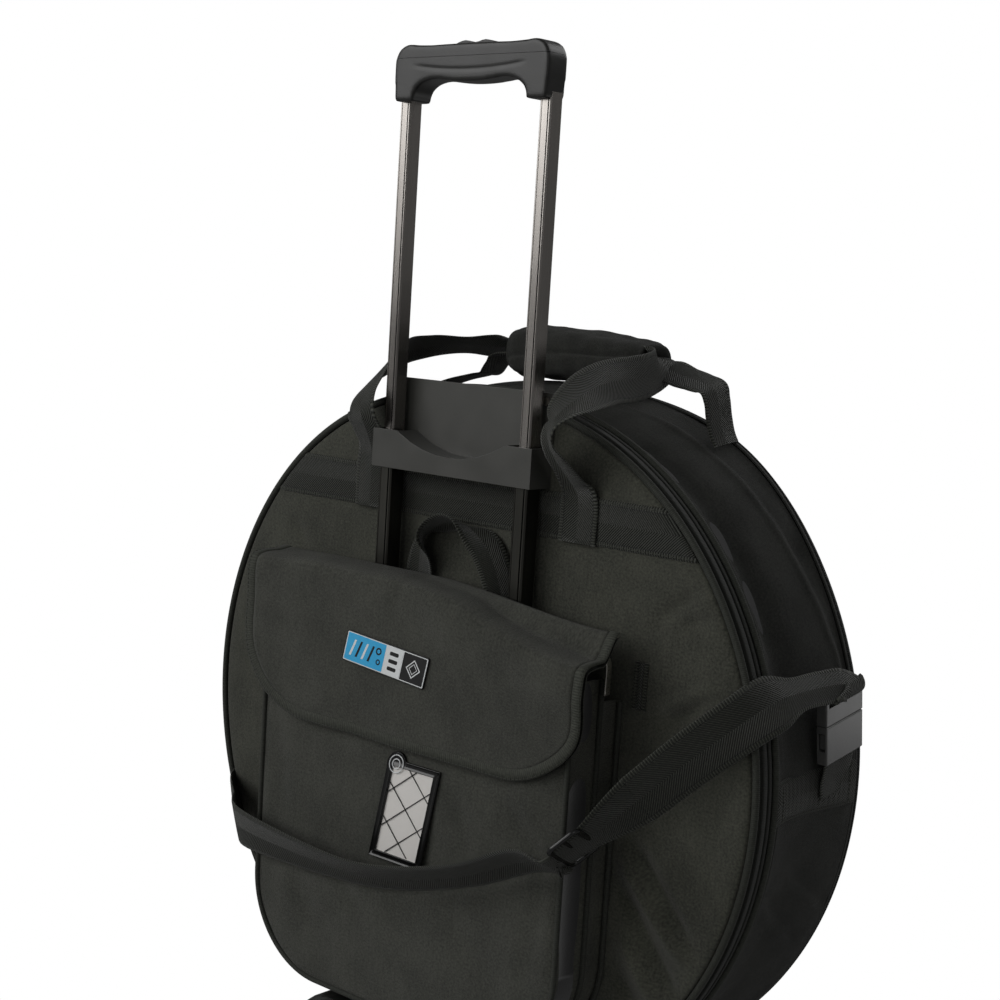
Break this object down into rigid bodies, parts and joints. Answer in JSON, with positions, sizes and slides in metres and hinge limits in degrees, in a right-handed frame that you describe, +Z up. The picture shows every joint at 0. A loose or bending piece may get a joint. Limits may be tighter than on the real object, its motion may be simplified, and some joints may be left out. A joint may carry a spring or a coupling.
{
  "type": "cymbal trolley case",
  "caption": "Round padded fabric case for cymbals with a telescopic pull handle, wheeled moulded base, flap pocket, wrapped carry handles and a shoulder strap",
  "frame": {"origin": "middle of the overall box, on the floor", "axes": "+Z up, -Y towards the pocket and the pull handle, +X to the right as seen from the pocket side"},
  "size_m": [0.6892, 0.289, 0.954],
  "materials": {
    "cloth": "coated heavy pack cloth, plain weave",
    "webbing": "woven nylon webbing and binding tape",
    "moulded_plastic": "fine moulded texture",
    "anodised_tube": "dark satin anodised",
    "satin_plastic": "satin moulded",
    "steel": "bright zinc plated",
    "rubber": "smooth black",
    "lining": "foam with a brushed lining",
    "board": "extruded sheet",
    "label": "printed soft patch",
    "card": "printed card"
  },
  "bodies": {
    "case": {"base_tray": "moulded_plastic", "buckle_plug_left": "satin_plastic", "buckle_plug_right": "satin_plastic", "buckle_socket_left": "satin_plastic", "buckle_socket_right": "satin_plastic", "cup_screw_left": "steel", "cup_screw_right": "steel", "frame_board": "board", "front_band": "cloth", "front_handle": "webbing", "front_padding": "lining", "front_panel": "cloth", "front_piping": "webbing", "front_webbing": "webbing", "front_zip": "webbing", "grab_loop": "webbing", "guide_bush_left": "moulded_plastic", "guide_bush_right": "moulded_plastic", "handle_cup": "satin_plastic", "handle_wrap": "cloth", "main_band": "cloth", "middle_piping": "webbing", "name_card": "card", "outer_tube_left": "anodised_tube", "outer_tube_right": "anodised_tube", "padded_divider": "lining", "pocket_body": "cloth", "rear_handle": "webbing", "rear_zip": "webbing", "shoulder_strap": "webbing", "side_tab": "webbing", "strap_anchor_left": "webbing", "strap_anchor_right": "webbing", "wheel_axle": "steel", "wheel_housing": "moulded_plastic", "window_frame": "rubber"},
    "lid": {"back_panel": "cloth", "rear_piping": "webbing"},
    "handle": {"inner_tube_left": "anodised_tube", "inner_tube_right": "anodised_tube", "tube_plug_left": "satin_plastic", "tube_plug_right": "satin_plastic", "grip_body": "moulded_plastic", "grip_cover": "moulded_plastic", "button_spring": "steel"},
    "button": {"release_button": "moulded_plastic", "release_yoke": "steel"},
    "lock_left": {"lock_pin_left": "steel"},
    "lock_right": {"lock_pin_right": "steel"},
    "wheel_left": {"wheel_hub_left": "satin_plastic", "wheel_tyre_left": "rubber"},
    "wheel_right": {"wheel_hub_right": "satin_plastic", "wheel_tyre_right": "rubber"},
    "front_slider": {"front_zip_slider": "moulded_plastic"},
    "rear_slider_upper": {"rear_zip_slider_upper": "moulded_plastic"},
    "rear_slider_lower": {"rear_zip_slider_lower": "moulded_plastic"},
    "flap": {"pocket_flap": "cloth", "name_label": "label"},
    "pocket_slider": {"pocket_zip_slider": "steel"},
    "adjuster": {"strap_adjuster": "moulded_plastic"}
  },
  "joints": [
    {"name": "lid_hinge", "type": "hinge", "parent": "case", "child": "lid", "pos_m": [0.0016, 0.12735, 0.0287], "axis": [-1, 0, 0], "range_deg": [0, 90]},
    {"name": "handle_slide", "type": "slide", "parent": "case", "child": "handle", "axis": [0, 0, 1], "range_m": [-0.288, 0]},
    {"name": "button_press", "type": "slide", "parent": "handle", "child": "button", "axis": [0, 0, -1], "range_m": [0, 0.004], "stiffness_N_per_m": 900, "springref_m": -0.002, "deforming": ["button_spring"]},
    {"name": "lock_left_slide", "type": "slide", "parent": "handle", "child": "lock_left", "axis": [1, 0, 0], "range_m": [0, 0.001]},
    {"name": "lock_right_slide", "type": "slide", "parent": "handle", "child": "lock_right", "axis": [-1, 0, 0], "range_m": [0, 0.001]},
    {"name": "wheel_left_spin", "type": "hinge", "parent": "case", "child": "wheel_left", "pos_m": [-0.1034, -0.0584, 0.03], "axis": [1, 0, 0], "continuous": true},
    {"name": "wheel_right_spin", "type": "hinge", "parent": "case", "child": "wheel_right", "pos_m": [0.1066, -0.0584, 0.03], "axis": [1, 0, 0], "continuous": true},
    {"name": "front_zip_travel", "type": "hinge", "parent": "case", "child": "front_slider", "pos_m": [0.0016, -0.0079, 0.345], "axis": [0, 1, 0], "range_deg": [0, 154]},
    {"name": "rear_zip_travel_upper", "type": "hinge", "parent": "case", "child": "rear_slider_upper", "pos_m": [0.0256, 0.1232, 0.345], "axis": [0, 1, 0], "range_deg": [0, 64]},
    {"name": "rear_zip_travel_lower", "type": "hinge", "parent": "case", "child": "rear_slider_lower", "pos_m": [0.0016, 0.1232, 0.345], "axis": [0, -1, 0], "range_deg": [0, 150]},
    {"name": "flap_hinge", "type": "hinge", "parent": "case", "child": "flap", "pos_m": [0.0016, -0.0499, 0.489], "axis": [-1, 0, 0], "range_deg": [0, 90]},
    {"name": "pocket_zip_travel", "type": "slide", "parent": "case", "child": "pocket_slider", "axis": [-1, 0, 0], "range_m": [0, 0.34]},
    {"name": "adjuster_travel", "type": "slide", "parent": "case", "child": "adjuster", "axis": [0.5669, 0.4796, 0.6698], "range_m": [0, 0.045]}
  ],
  "couplings": [
    {"joint": "lock_left_slide", "follows": "button_press", "ratio": 0.25},
    {"joint": "lock_right_slide", "follows": "button_press", "ratio": 0.25}
  ]
}
